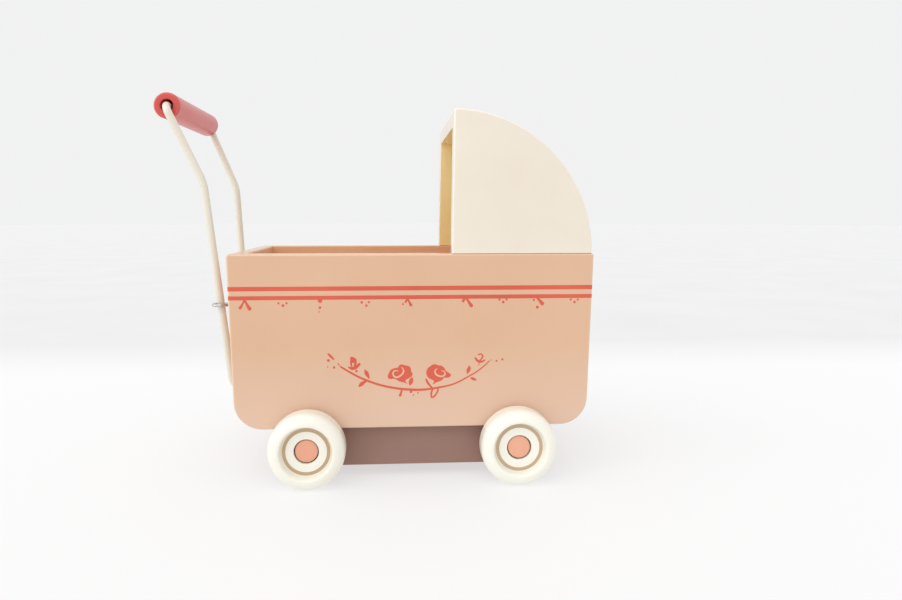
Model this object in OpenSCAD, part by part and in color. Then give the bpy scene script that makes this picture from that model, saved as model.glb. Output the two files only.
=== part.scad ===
// Doll pram: a painted wooden box on four turned wheels, with a quarter-round
// hood and a bent wire handle that carries a loose wooden grip.
// Millimetres, +Z up, +X towards the hood end. The origin lies on the floor,
// below the centre of the whole pram, handle included.

/* [Body] */
// Length of the tub at its rim
body_len = 156.8; // [140:0.2:175]
// Width of the tub over its side boards
body_w = 86; // [80:1:100]
// Height of the rim above the floor
rim_z = 98; // [92:1:110]
// Height of the underside of the tub above the floor
bottom_z = 23; // [23:1:28]
// Inward slope of the two ends, in degrees
end_slope = 1.9; // [0.5:0.1:3]
// Radius of the lower corners
corner_r = 12; // [9:0.5:14]
// Thickness of the side boards
side_t = 7.2; // [6:0.1:8]
// Thickness of the end boards
end_t = 6.6; // [6:0.1:8]
// Thickness of the floor board
floor_t = 7; // [6:0.1:8]

/* [Hood] */
// Distance from mid wheelbase to the hood's front edge at the rim
hood_front = 16.7; // [12:0.1:20]
// Radius of the hood's curve
hood_r = 60.5; // [56:0.1:61]
// Straight rise of the hood's back before the curve starts
hood_rise = 1.1; // [0.5:0.1:3]
// Backward rake of the hood's front edge, in degrees
hood_rake = 0.85; // [0.3:0.05:1.5]
// Thickness of the hood's side cheeks
cheek_t = 7.2; // [6:0.1:8]
// Thickness of the hood's curved roof
roof_t = 7.2; // [6:0.1:8]

/* [Wheels] */
// Distance between the front and rear axles
wheelbase = 89.4; // [86:0.2:96]
// Radius of a wheel
wheel_r = 16.2; // [15:0.1:16.3]
// Thickness of a wheel's disc
wheel_t = 11.9; // [11:0.1:12.4]
// Distance from the middle of the pram to the inner end of a wheel's boss
wheel_in = 39.2; // [39.2:0.1:40]
// Gap between a side board and a wheel's disc
wheel_gap = 0.5; // [0.4:0.1:1]
// Radius of the boss behind the disc, which passes below the tub
boss_r = 6.2; // [5.6:0.1:6.4]
// Radius of the rim's outer rounding
rim_out_r = 4.5; // [3:0.1:5]
// Radius of the rim's inner rounding
rim_in_r = 2.5; // [2:0.1:4]
// Depth of the dished face
dish_d = 3.2; // [2:0.1:4]
// Radius of the head of an axle peg
peg_head_r = 4.8; // [4.6:0.1:5.4]
// Radius of the shank of an axle peg
peg_r = 3; // [2.5:0.1:3.4]
// Radial running clearance of a wheel on its peg
wheel_play = 0.08; // [0.04:0.01:0.1]

/* [Chassis] */
// Length of the chassis block
block_len = 112; // [106:1:116]
// Width of the chassis block
block_w = 76; // [70:1:76]
// Height of the block's underside above the floor
block_z = 5.2; // [5:0.1:8]

/* [Handle] */
// Radius of the bent wire
rod_r = 1.65; // [1.5:0.05:1.9]
// Half the distance between the legs at the tub
leg_y_low = 20.2; // [19:0.1:23]
// Half the distance between the legs at the grip
leg_y_top = 36.9; // [36.5:0.1:38]
// Height of the holes that hold the ends of the wire
rod_hole_z = 35.6; // [35.2:0.1:40]
// Height of the knee in the legs
knee_z = 128.2; // [120:0.1:135]
// Height of the grip's axis
grip_z = 160.8; // [155:0.1:165]
// Distance of the grip's axis from mid wheelbase
grip_x = 103.9; // [98:0.1:106]
// Outer radius of the grip
grip_r = 5.6; // [5:0.1:6.5]
// Radius of the bore through the grip
grip_bore_r = 2.7; // [2.2:0.1:3]
// Length of the grip
grip_len = 67.1; // [62:0.1:67.6]

/* [Screw eyes] */
// Height of the two screw eyes
eye_z = 74.6; // [70:0.1:82]
// Radius from the centre of the ring to the centre of its wire
eye_ring_r = 2.9; // [2.6:0.1:3.2]
// Radius of the ring's wire
eye_wire_r = 0.75; // [0.6:0.05:0.9]
// Radius of the shank
eye_shank_r = 1; // [0.8:0.05:1.2]

/* [Joinery] */
// Radius of the dowels
dowel_r = 2; // [1.5:0.1:2.5]
// Length of the dowels
dowel_len = 16; // [12:1:18]
// Radius of the shank of a chassis screw
screw_r = 1.5; // [1.2:0.1:1.8]

/* [Hidden] */

$fn = 96;
peach = [0.886, 0.722, 0.596];
cream = [0.945, 0.906, 0.835];
ivory = [0.98, 0.975, 0.93];
salmon = [0.925, 0.667, 0.541];
red = [0.878, 0.392, 0.337];
beech = [0.855, 0.737, 0.565];
steel = [0.75, 0.75, 0.76];

top_half = body_len / 2;
inner_w = body_w - 2 * side_t;
body_h = rim_z - bottom_z;
low_half = top_half - body_h * tan(end_slope);     // where the end's line meets the bottom's
corner_off = corner_r * tan((90 - end_slope) / 2); // from there to the tangent points
corner_c = low_half - corner_off;                  // centre of the rounding, along X
hood_back = hood_front + 0.3 + hood_r;
hood_cx = hood_back - hood_r;
hood_cz = rim_z + hood_rise;
// the grip reaches further back than the hood end reaches forward
x_off = (grip_x + grip_r - top_half) / 2;
peg_play = 0.3;                                    // end float under a peg's head
bore_len = 8.6;                                    // length of the wheel's bore below its counterbore
head_t = 3.6;
boss_len = body_w / 2 + wheel_gap - wheel_in;

// outer x of the sloping end at a height
function end_x(z) = top_half - (rim_z - z) * tan(end_slope);

/* ---------- tub ---------- */

// Outline of the tub seen from the side, as X and Z, for one half
module half_outline() {
    union() {
        polygon([[0, bottom_z], [corner_c, bottom_z],
                 [corner_c, bottom_z + corner_r],
                 [corner_c + corner_r * cos(end_slope), bottom_z + corner_r - corner_r * sin(end_slope)],
                 [top_half, rim_z], [0, rim_z]]);
        translate([corner_c, bottom_z + corner_r]) circle(r = corner_r);
    }
}

module outline() {
    half_outline();
    mirror([1, 0]) half_outline();
}

// Sets an XZ drawing upright, w thick, its middle at y
module upright(y, w) {
    translate([0, y + w / 2, 0]) rotate([90, 0, 0]) linear_extrude(height = w) children();
}

dowel_z = [43, 63, 85];
dowel_zh = [45, 57, 87];
floor_dowel_x = [-50, 0, 50];

module cross_dowel(x, y, z) {
    translate([x, y, z]) rotate([90, 0, 0]) cylinder(r = dowel_r, h = dowel_len, center = true);
}

// Dowels between one side board and the boards that it closes; s is its side
module side_dowels(s) {
    y = s * (body_w / 2 - side_t);
    for (z = dowel_z) cross_dowel(-(end_x(z) - end_t / 2), y + s * (5 - dowel_len / 2), z);
    for (z = dowel_zh) cross_dowel(end_x(z) - end_t / 2, y + s * (5 - dowel_len / 2), z);
    for (x = floor_dowel_x) cross_dowel(x, y + s * (5 - dowel_len / 2), bottom_z + floor_t / 2);
}

hood_dowel_x = [26, 66];

// Upright dowels that hold a hood cheek on its side board
module cheek_dowels(s) {
    for (x = hood_dowel_x)
        translate([x, s * (body_w / 2 - side_t / 2), rim_z - dowel_len / 2]) cylinder(r = dowel_r, h = dowel_len);
}

// Dowels between a hood cheek and the roof
module roof_dowels(s) {
    for (a = [22, 68])
        cross_dowel(hood_cx + (hood_r - roof_t / 2) * cos(a),
                    s * (body_w / 2 - cheek_t) + s * (5 - dowel_len / 2),
                    hood_cz + (hood_r - roof_t / 2) * sin(a));
}

module side_board(s) {
    difference() {
        upright(s * (body_w - side_t) / 2, side_t) outline();
        side_dowels(s);
        cheek_dowels(s);
    }
}

module side_board_right() { color(peach) translate([x_off, 0, 0]) side_board(-1); }
module side_board_left() { color(peach) translate([x_off, 0, 0]) side_board(1); }

// End board: the part of the outline outside a line parallel to its sloping face
module end_board() {
    upright(0, inner_w) intersection() {
        half_outline();
        polygon([[end_x(bottom_z - 5) - end_t, bottom_z - 5], [top_half + 20, bottom_z - 5],
                 [top_half + 20, rim_z + 5], [end_x(rim_z + 5) - end_t, rim_z + 5]]);
    }
}

// Bore that takes the end of one handle leg, or the shank of a screw eye
module leg_bores() {
    for (s = [-1, 1]) {
        translate([-end_x(rod_hole_z) - 3, s * leg_y_low, rod_hole_z])
            rotate([0, 90, 0]) cylinder(r = rod_r, h = 3 + end_x(rod_hole_z) - rod_end_x);
        translate([-end_x(eye_z) - 3, s * leg_y(eye_z), eye_z])
            rotate([0, 90, 0]) cylinder(r = eye_shank_r, h = 3 + 5.2);
    }
}

module end_board_handle() {
    color(peach) translate([x_off, 0, 0]) difference() {
        mirror([1, 0, 0]) end_board();
        side_dowels(-1);
        side_dowels(1);
        leg_bores();
    }
}

module end_board_hood() {
    color(peach) translate([x_off, 0, 0]) difference() {
        end_board();
        side_dowels(-1);
        side_dowels(1);
    }
}

module floor_half() {
    intersection() {
        half_outline();
        polygon([[0, bottom_z - 5], [end_x(bottom_z - 5) - end_t, bottom_z - 5],
                 [end_x(bottom_z + floor_t) - end_t, bottom_z + floor_t], [0, bottom_z + floor_t]]);
    }
}

screw_x = 42;
screw_y = 22;

module screw_set() {
    for (x = [-screw_x, screw_x], y = [-screw_y, screw_y]) translate([x, y, 0]) children();
}

module floor_board() {
    color(peach) translate([x_off, 0, 0]) difference() {
        upright(0, inner_w) { floor_half(); mirror([1, 0]) floor_half(); }
        side_dowels(-1);
        side_dowels(1);
        screw_set() translate([0, 0, bottom_z - 1]) cylinder(r = screw_r, h = 5);
    }
}

module body_dowels() {
    color(beech) translate([x_off, 0, 0]) { side_dowels(-1); side_dowels(1); }
}

/* ---------- chassis ---------- */

module chassis_block() {
    color(peach) translate([x_off, 0, 0]) difference() {
        translate([-block_len / 2, -block_w / 2, block_z])
            cube([block_len, block_w, bottom_z - block_z]);
        for (sx = [-1, 1], sy = [-1, 1])
            translate([sx * wheelbase / 2, sy * (block_w / 2 + 1), wheel_r])
                rotate([sy * 90, 0, 0]) cylinder(r = peg_r, h = 15);
        screw_set() {
            translate([0, 0, block_z - 1]) cylinder(r = screw_r, h = bottom_z - block_z + 2);
            translate([0, 0, block_z - 1]) cylinder(r = 3.2, h = 7);
        }
    }
}

// Pan-head wood screw, driven up through the block into the floor board
module screw() {
    union() {
        difference() {
            translate([0, 0, block_z + 3.9]) cylinder(r = 2.9, h = 2.1);
            translate([-2.4, -0.4, block_z + 3]) cube([4.8, 0.8, 1.6]);
            translate([-0.4, -2.4, block_z + 3]) cube([0.8, 4.8, 1.6]);
        }
        translate([0, 0, block_z + 5.5]) cylinder(r = screw_r, h = bottom_z + 4 - block_z - 5.5);
    }
}

module chassis_screws() { color(steel) translate([x_off, 0, 0]) screw_set() screw(); }

/* ---------- hood ---------- */

// Outline of the hood seen from the side; r is the radius of its curve
module hood_outline(r) {
    intersection() {
        union() {
            translate([hood_cx, hood_cz]) circle(r = r);
            translate([hood_cx - 20, rim_z - 1]) square([20 + r, hood_rise + 1]);
        }
        polygon([[hood_front, rim_z], [hood_back + 5, rim_z], [hood_back + 5, rim_z + 70],
                 [hood_front + 70 * tan(hood_rake), rim_z + 70]]);
    }
}

module hood_cheek(s) {
    difference() {
        upright(s * (body_w - cheek_t) / 2, cheek_t) hood_outline(hood_r);
        cheek_dowels(s);
        roof_dowels(s);
    }
}

module hood_cheek_right() { color(cream) translate([x_off, 0, 0]) hood_cheek(-1); }
module hood_cheek_left() { color(cream) translate([x_off, 0, 0]) hood_cheek(1); }

module hood_roof() {
    color(cream) translate([x_off, 0, 0]) difference() {
        upright(0, body_w - 2 * cheek_t) difference() {
            hood_outline(hood_r);
            translate([hood_cx, hood_cz]) circle(r = hood_r - roof_t);
            translate([hood_cx - 20, rim_z - 2]) square([20 + hood_r - roof_t, hood_rise + 2]);
        }
        roof_dowels(-1);
        roof_dowels(1);
    }
}

module hood_dowels() {
    color(beech) translate([x_off, 0, 0])
        for (s = [-1, 1]) { cheek_dowels(s); roof_dowels(s); }
}

/* ---------- handle ---------- */

// half distance between the legs at a height
function leg_y(z) = leg_y_low + (leg_y_top - leg_y_low) * (z - rod_hole_z) / (grip_z - rod_hole_z);

rod_end_x = end_x(rod_hole_z) - 5;
low_slope = 0.089;  // how far a leg leans back per millimetre below the knee
foot_x = 81.15;       // where the legs' line meets the height of their holes
knee_x = foot_x + low_slope * (knee_z - rod_hole_z);

function unit(v) = v / norm(v);

// Points, then directions, along a bend of radius rb at corner p between directions u and v
function bend_points(p, u, v, rb, n) =
    let (ang = acos(u * v), e = unit(v - (v * u) * u), c = p - rb * tan(ang / 2) * u + rb * e)
    [for (k = [0:n]) c - rb * cos(ang * k / n) * e + rb * sin(ang * k / n) * u];
function bend_dirs(u, v, n) =
    let (ang = acos(u * v), e = unit(v - (v * u) * u))
    [for (k = [0:n]) cos(ang * k / n) * u + sin(ang * k / n) * e];

// Sideways directions carried along a path without twist
function carried(dirs, n0, i = 0) =
    i == len(dirs) ? [] :
    let (n1 = unit(n0 - (n0 * dirs[i]) * dirs[i])) concat([n1], carried(dirs, n1, i + 1));

// Round wire through the corners pts, bent to radii at the inner ones
module bent_wire(pts, radii, r) {
    n = len(pts);
    d = [for (i = [0:n - 2]) unit(pts[i + 1] - pts[i])];
    path = concat([pts[0]], [for (i = [1:n - 2]) each bend_points(pts[i], d[i - 1], d[i], radii[i], wire_steps)], [pts[n - 1]]);
    dirs = concat([d[0]], [for (i = [1:n - 2]) each bend_dirs(d[i - 1], d[i], wire_steps)], [d[n - 2]]);
    side = carried(dirs, [0, 1, 0.2]);
    m = len(path);
    q = wire_sides;
    polyhedron(
        points = [for (i = [0:m - 1], k = [0:q - 1])
            path[i] + r * (cos(360 * k / q) * side[i] + sin(360 * k / q) * cross(dirs[i], side[i]))],
        faces = concat(
            [[for (k = [0:q - 1]) k]],
            [for (i = [0:m - 2], k = [0:q - 1]) each [
                [i * q + k, (i + 1) * q + k, (i + 1) * q + (k + 1) % q],
                [i * q + k, (i + 1) * q + (k + 1) % q, i * q + (k + 1) % q]]],
            [[for (k = [q - 1:-1:0]) (m - 1) * q + k]]));
}

bar_half = leg_y_top - 4.4; // half the length of the straight bar at the top
wire_sides = 20;
wire_steps = 8;

function leg(s) = [
    [-rod_end_x, s * leg_y_low, rod_hole_z],
    [-foot_x, s * leg_y_low, rod_hole_z],
    [-knee_x, s * leg_y(knee_z), knee_z],
    [-grip_x, s * leg_y_top, grip_z]];

// Each leg runs from its hole up and over into the straight bar that the grip turns on
module handle_rod() {
    color(ivory) translate([x_off, 0, 0]) union() {
        translate([-grip_x, 0, grip_z]) rotate([90, 0, 0]) cylinder(r = rod_r, h = 2 * bar_half, center = true);
        for (s = [-1, 1])
            bent_wire(concat(leg(s), [[-grip_x, s * (bar_half - 1), grip_z]]), [0, 6, 22, 4, 0], rod_r - 0.02);
    }
}

module handle_grip() {
    color(red) translate([x_off - grip_x, 0, grip_z]) rotate([90, 0, 0]) rotate_extrude()
        polygon([[grip_bore_r, -grip_len / 2], [grip_r - 0.5, -grip_len / 2], [grip_r, -grip_len / 2 + 0.5],
                 [grip_r, grip_len / 2 - 0.5], [grip_r - 0.5, grip_len / 2], [grip_bore_r, grip_len / 2]]);
}

// x of a leg's centre at a height below the knee
function leg_x(z) = foot_x + low_slope * (z - rod_hole_z);

module screw_eye(s) {
    translate([-leg_x(eye_z) - 0.4, s * leg_y(eye_z), eye_z]) union() {
        rotate_extrude() translate([eye_ring_r, 0]) circle(r = eye_wire_r, $fn = 32);
        translate([eye_ring_r, 0, 0]) rotate([0, 90, 0])
            cylinder(r = eye_shank_r, h = leg_x(eye_z) + 0.4 - eye_ring_r - end_x(eye_z) + 5, $fn = 32);
    }
}

module screw_eye_right() { color(steel) translate([x_off, 0, 0]) screw_eye(-1); }
module screw_eye_left() { color(steel) translate([x_off, 0, 0]) screw_eye(1); }

/* ---------- wheels ---------- */

// Turned wheel: the inner end of its boss at z = 0, its dished face at the other end
module wheel_form() {
    ro = rim_out_r;
    ri = rim_in_r;
    z0 = boss_len;
    z1 = boss_len + wheel_t;
    rotate_extrude() difference() {
        union() {
            square([boss_r, z1]);
            translate([0, z0]) square([wheel_r - ro, wheel_t]);
            translate([0, z0]) square([wheel_r - ri, ri + 1]);
            translate([0, z0 + ri]) square([wheel_r, wheel_t - ro - ri]);
            translate([wheel_r - ro, z1 - ro]) circle(r = ro);
            translate([wheel_r - ri, z0 + ri]) circle(r = ri);
        }
        polygon([[-1, z1 + 1], [wheel_r - ro + 0.3, z1 + 1], [wheel_r - ro + 0.3, z1],
                 [wheel_r - ro - 2.2, z1 - dish_d], [-1, z1 - dish_d]]);
        translate([-1, bore_len]) square([1 + peg_head_r + 0.4, z1]);
        translate([-30, -1]) square([30 + peg_r + wheel_play, z1 + 2]);
    }
}

// Puts a wheel or peg at its corner: sx is +1 at the hood end, sy is +1 on the left
module at_corner(sx, sy) {
    translate([x_off + sx * wheelbase / 2, sy * wheel_in, wheel_r]) rotate([-sy * 90, 0, 0]) children();
}

module axle_peg_form() {
    union() {
        translate([0, 0, bore_len + peg_play]) cylinder(r = peg_head_r, h = head_t);
        translate([0, 0, block_w / 2 - wheel_in - 13]) cylinder(r = peg_r, h = wheel_in + 13 - block_w / 2 + bore_len + peg_play + 1);
    }
}

module wheel_front_right() { color(ivory) at_corner(1, -1) wheel_form(); }
module wheel_front_left() { color(ivory) at_corner(1, 1) wheel_form(); }
module wheel_rear_right() { color(ivory) at_corner(-1, -1) wheel_form(); }
module wheel_rear_left() { color(ivory) at_corner(-1, 1) wheel_form(); }
module axle_peg_front_right() { color(salmon) at_corner(1, -1) axle_peg_form(); }
module axle_peg_front_left() { color(salmon) at_corner(1, 1) axle_peg_form(); }
module axle_peg_rear_right() { color(salmon) at_corner(-1, -1) axle_peg_form(); }
module axle_peg_rear_left() { color(salmon) at_corner(-1, 1) axle_peg_form(); }

side_board_right();
side_board_left();
end_board_handle();
end_board_hood();
floor_board();
body_dowels();
chassis_block();
chassis_screws();
hood_cheek_right();
hood_cheek_left();
hood_roof();
hood_dowels();
handle_rod();
handle_grip();
screw_eye_right();
screw_eye_left();
wheel_front_right();
wheel_front_left();
wheel_rear_right();
wheel_rear_left();
axle_peg_front_right();
axle_peg_front_left();
axle_peg_rear_right();
axle_peg_rear_left();
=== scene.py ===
"""Looks of the doll pram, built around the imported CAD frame. Lengths are in millimetres from mid wheelbase until MM and XO turn them into the frame's metres."""
import bpy, bmesh, math
from mathutils import Matrix, Vector

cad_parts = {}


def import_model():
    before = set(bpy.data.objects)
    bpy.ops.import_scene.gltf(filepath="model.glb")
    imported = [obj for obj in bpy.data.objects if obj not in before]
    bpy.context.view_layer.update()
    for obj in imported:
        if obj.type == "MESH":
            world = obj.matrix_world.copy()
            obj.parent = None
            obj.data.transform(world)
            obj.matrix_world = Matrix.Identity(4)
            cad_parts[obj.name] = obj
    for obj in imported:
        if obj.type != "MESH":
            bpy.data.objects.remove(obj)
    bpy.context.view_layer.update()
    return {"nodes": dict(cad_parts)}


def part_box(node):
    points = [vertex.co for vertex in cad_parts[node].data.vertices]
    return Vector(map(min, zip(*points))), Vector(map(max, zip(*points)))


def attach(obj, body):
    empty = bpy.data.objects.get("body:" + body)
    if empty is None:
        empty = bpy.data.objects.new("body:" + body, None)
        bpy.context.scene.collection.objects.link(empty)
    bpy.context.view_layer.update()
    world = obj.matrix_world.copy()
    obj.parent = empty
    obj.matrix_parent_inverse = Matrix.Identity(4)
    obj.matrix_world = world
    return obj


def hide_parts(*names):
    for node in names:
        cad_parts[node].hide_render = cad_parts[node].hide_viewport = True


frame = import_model()
NODES = frame["nodes"]
MM = 0.001


def mmbox(node):
    lo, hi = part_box(node)
    return [v / MM for v in lo], [v / MM for v in hi]


# ---------------------------------------------------------------- sizes, read from the CAD boxes
WHEELS = {"front_right": (1, -1), "front_left": (1, 1), "rear_right": (-1, -1), "rear_left": (-1, 1)}
wheel_boxes = {w: mmbox("wheel_" + w) for w in WHEELS}
wheel_mid = {w: (b[0][0] + b[1][0]) / 2 for w, b in wheel_boxes.items()}
XO = (wheel_mid["front_right"] + wheel_mid["rear_right"]) / 2
WB = (wheel_mid["front_right"] - wheel_mid["rear_right"]) / 2
WR = (wheel_boxes["front_right"][1][2] - wheel_boxes["front_right"][0][2]) / 2
WIN = wheel_boxes["front_left"][0][1]
WOUT = wheel_boxes["front_left"][1][1]
side = mmbox("side_board_right")
HALF = (side[1][0] - side[0][0]) / 2
BOT, RIM = side[0][2], side[1][2]
YO, YI = -side[0][1], -side[1][1]
SLOPE = math.radians(1.9)
CR = 12.0
ENDT = 6.6
FLOOR = mmbox("floor_board")[1][2]
cheek = mmbox("hood_cheek_right")
HR = 60.5
HX = cheek[1][0] - XO - HR
HZ = RIM + 1.1
HF = cheek[0][0] - XO
RAKE = math.radians(0.85)
ROOFT = 7.2
gripb = mmbox("handle_grip")
GX = (gripb[0][0] + gripb[1][0]) / 2 - XO
GZ = (gripb[0][2] + gripb[1][2]) / 2
GR = (gripb[1][2] - gripb[0][2]) / 2
GL = (gripb[1][1] - gripb[0][1]) / 2
ROD = 1.65
EYE_Z = (mmbox("screw_eye_right")[0][2] + mmbox("screw_eye_right")[1][2]) / 2
HOLE_Z = RIM - 62.4
KNEE_Z = RIM + 30.2
LEG_LOW, LEG_TOP = 20.2, 36.9


def end_x(z):
    return HALF - (RIM - z) * math.tan(SLOPE)


def leg_y(z):
    return LEG_LOW + (LEG_TOP - LEG_LOW) * (z - HOLE_Z) / (GZ - HOLE_Z)


def leg_x(z):
    return 81.15 + 0.089 * (z - HOLE_Z)


# ---------------------------------------------------------------- material nodes
def linear(c):
    return tuple((v / 12.92 if v <= 0.04045 else ((v + 0.055) / 1.055) ** 2.4) for v in c)


def rgb(r, g, b):
    return linear((r / 255, g / 255, b / 255)) + (1.0,)


class Shader:
    def __init__(self, name):
        self.mat = bpy.data.materials.new(name)
        self.mat.use_nodes = True
        self.nt = self.mat.node_tree
        self.nt.nodes.clear()
        self.out = self.nt.nodes.new("ShaderNodeOutputMaterial")
        self.bsdf = self.nt.nodes.new("ShaderNodeBsdfPrincipled")
        self.nt.links.new(self.bsdf.outputs[0], self.out.inputs[0])
        self.coord = self.nt.nodes.new("ShaderNodeTexCoord").outputs["Object"]

    def link(self, a, b):
        self.nt.links.new(a, b)

    def stretched(self, sx, sy, sz):
        m = self.nt.nodes.new("ShaderNodeMapping")
        m.inputs["Scale"].default_value = (sx, sy, sz)
        self.link(self.coord, m.inputs["Vector"])
        return m.outputs[0]

    def noise(self, scale, detail=2.0, rough=0.5, vec=None, distort=0.0):
        n = self.nt.nodes.new("ShaderNodeTexNoise")
        n.inputs["Scale"].default_value = scale
        n.inputs["Detail"].default_value = detail
        n.inputs["Roughness"].default_value = rough
        n.inputs["Distortion"].default_value = distort
        self.link(vec or self.coord, n.inputs["Vector"])
        return n.outputs[0]

    def ramp(self, fac, lo, hi, a=0.0, b=1.0):
        m = self.nt.nodes.new("ShaderNodeMapRange")
        m.inputs["From Min"].default_value = lo
        m.inputs["From Max"].default_value = hi
        m.inputs["To Min"].default_value = a
        m.inputs["To Max"].default_value = b
        self.link(fac, m.inputs["Value"])
        return m.outputs[0]

    def mix(self, fac, a, b):
        m = self.nt.nodes.new("ShaderNodeMix")
        m.data_type = "RGBA"
        if isinstance(fac, (int, float)):
            m.inputs[0].default_value = fac
        else:
            self.link(fac, m.inputs[0])
        for v, s in ((a, m.inputs[6]), (b, m.inputs[7])):
            if isinstance(v, tuple):
                s.default_value = v
            else:
                self.link(v, s)
        return m.outputs[2]

    def times(self, a, k):
        m = self.nt.nodes.new("ShaderNodeMath")
        m.operation = "MULTIPLY"
        self.link(a, m.inputs[0])
        if isinstance(k, (int, float)):
            m.inputs[1].default_value = k
        else:
            self.link(k, m.inputs[1])
        return m.outputs[0]

    def attribute(self, name):
        n = self.nt.nodes.new("ShaderNodeAttribute")
        n.attribute_name = name
        return n.outputs["Fac"]

    def bump(self, height, strength, distance, under=None):
        b = self.nt.nodes.new("ShaderNodeBump")
        b.inputs["Strength"].default_value = strength
        b.inputs["Distance"].default_value = distance
        self.link(height, b.inputs["Height"])
        if under is not None:
            self.link(under, b.inputs["Normal"])
        return b.outputs[0]


def paint(name, base, light, dark, rough=0.42, spec=0.5, coat=0.0, coat_rough=0.3, peel=0.25, fine=0.18, edge=None, edge_amount=0.5, grain=0.0, low=None):
    """Sprayed or brushed satin paint: slow drifts of tone, faint mottling and orange peel. edge tints the faces marked
    by the edge attribute: mostly a painted highlight that is partly thinner, worn paint, painted shade on the peg rims,
    and a warmer, darker tint on the rod near the screw eyes; low paints the lower part lighter, as painted light
    bounced up from the floor.
    """
    s = Shader(name)
    slow = s.ramp(s.noise(22, 3, 0.55), 0.30, 0.70)
    col = s.mix(slow, dark, light)
    mid = s.ramp(s.noise(140, 3, 0.6), 0.25, 0.75)
    col = s.mix(s.times(mid, 0.6), col, base)
    speck = s.ramp(s.noise(2600, 2, 0.5), 0.60, 0.80)
    col = s.mix(s.times(speck, 0.10), col, light)
    if grain:
        streak = s.ramp(s.noise(60, 4, 0.6, s.stretched(0.35, 1.0, 6.0), 0.4), 0.35, 0.75)
        col = s.mix(s.times(streak, grain), col, dark)
    # lighter colour towards the bottom: painted light bounced up from the floor
    if low is not None:
        sep = s.nt.nodes.new("ShaderNodeSeparateXYZ")
        s.link(s.coord, sep.inputs[0])
        col = s.mix(s.ramp(sep.outputs[2], low[1] * MM, low[2] * MM, low[3], 0.0), col, low[0])
    # edge tint: painted highlight on rounded edges, partly thin worn paint; painted shade on the peg rims
    if edge is not None:
        edge_sheen_shade_and_wear = s.times(s.attribute("edge"), s.ramp(s.noise(420, 3, 0.65), 0.30, 0.70, 0.45, 1.0))
        col = s.mix(s.times(edge_sheen_shade_and_wear, edge_amount), col, edge)
    s.link(col, s.bsdf.inputs["Base Color"])
    r = s.ramp(s.noise(90, 3, 0.6), 0.25, 0.75, rough - 0.05, rough + 0.06)
    s.link(r, s.bsdf.inputs["Roughness"])
    s.bsdf.inputs["Specular IOR Level"].default_value = spec
    s.bsdf.inputs["Coat Weight"].default_value = coat
    s.bsdf.inputs["Coat Roughness"].default_value = coat_rough
    wave = s.bump(s.noise(330, 2, 0.5), peel, 0.00006)
    s.link(s.bump(s.noise(1500, 3, 0.55), fine, 0.00003, wave), s.bsdf.inputs["Normal"])
    return s.mat


M = {}
# peach: the edge colour is a painted highlight on the rounded edges, partly thin paint; the low colour is painted light
# bounced up from the floor onto the lower part of the boards
M["peach"] = paint("peach_paint", rgb(219, 177, 143), rgb(221, 180, 147), rgb(216, 173, 138), rough=0.42, coat=0.6, coat_rough=0.14,
                   edge=rgb(238, 208, 182), edge_amount=0.7, grain=0.10, low=(rgb(224, 189, 166), 28, 60, 0.75))
# inner faces: a more orange copy of the peach, painted shade and interreflected light inside the tub
M["tub_inside"] = paint("tub_inside_shaded_paint", rgb(236, 186, 144), rgb(240, 192, 150), rgb(230, 178, 136), rough=0.45, coat=0.1,
                        edge=rgb(240, 206, 176), edge_amount=0.5, grain=0.18)
# chassis: dark brown-pink that is the block as seen in the shade under the body, painted shade
M["chassis"] = paint("chassis_shaded_paint", rgb(150, 116, 104), rgb(156, 122, 110), rgb(144, 110, 98), rough=0.55, spec=0.3, grain=0.2)
# the lighter edge colours below are painted highlight on rounded edges, partly thin paint; salmon's darker edge is
# painted shade at the peg rims; wire's edge is a warmer, darker tint near the screw eyes
M["cream"] = paint("cream_paint", rgb(234, 224, 207), rgb(237, 228, 212), rgb(230, 218, 201), rough=0.42, coat=0.5, coat_rough=0.16,
                   edge=rgb(250, 245, 236), edge_amount=0.7, grain=0.06)
M["lining"] = paint("hood_lining_paint", rgb(254, 236, 174), rgb(255, 239, 182), rgb(249, 228, 162), rough=0.5, coat=0.08,
                    edge=rgb(252, 236, 200), edge_amount=0.6, grain=0.22)
M["ivory"] = paint("ivory_paint", rgb(243, 241, 229), rgb(246, 245, 234), rgb(239, 236, 221), rough=0.36, coat=0.5, coat_rough=0.2, peel=0.3)
M["tan_line"] = paint("tan_line_paint", rgb(198, 169, 134), rgb(206, 180, 146), rgb(186, 154, 118), rough=0.45, peel=0.4, grain=0.2)
M["salmon"] = paint("salmon_paint", rgb(234, 165, 134), rgb(238, 175, 145), rgb(226, 154, 124), rough=0.42, coat=0.3, edge=rgb(176, 84, 72), edge_amount=0.5)
M["red"] = paint("red_paint", rgb(208, 70, 60), rgb(214, 80, 68), rgb(196, 60, 54), rough=0.40, coat=0.5, coat_rough=0.24, edge=rgb(232, 110, 96), edge_amount=0.4, grain=0.12, fine=0.1)
M["print"] = paint("print_red", rgb(216, 92, 70), rgb(220, 100, 76), rgb(208, 84, 66), rough=0.5, spec=0.4, peel=0.35, fine=0.3)
M["wire"] = paint("wire_paint", rgb(230, 224, 209), rgb(234, 229, 215), rgb(223, 213, 196), rough=0.34, coat=0.5, coat_rough=0.18, peel=0.35, edge=rgb(216, 190, 160), edge_amount=0.6)


def steel():
    s = Shader("bright_steel")
    drift = s.ramp(s.noise(900, 3, 0.6), 0.3, 0.7)
    s.link(s.mix(drift, (0.50, 0.48, 0.46, 1), (0.66, 0.65, 0.63, 1)), s.bsdf.inputs["Base Color"])
    s.bsdf.inputs["Metallic"].default_value = 1.0
    s.link(s.ramp(s.noise(1800, 2, 0.5, s.stretched(1, 6, 1)), 0.3, 0.7, 0.16, 0.30), s.bsdf.inputs["Roughness"])
    s.link(s.bump(s.noise(2500, 2, 0.5, s.stretched(1, 5, 1)), 0.2, 0.00002), s.bsdf.inputs["Normal"])
    return s.mat


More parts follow.
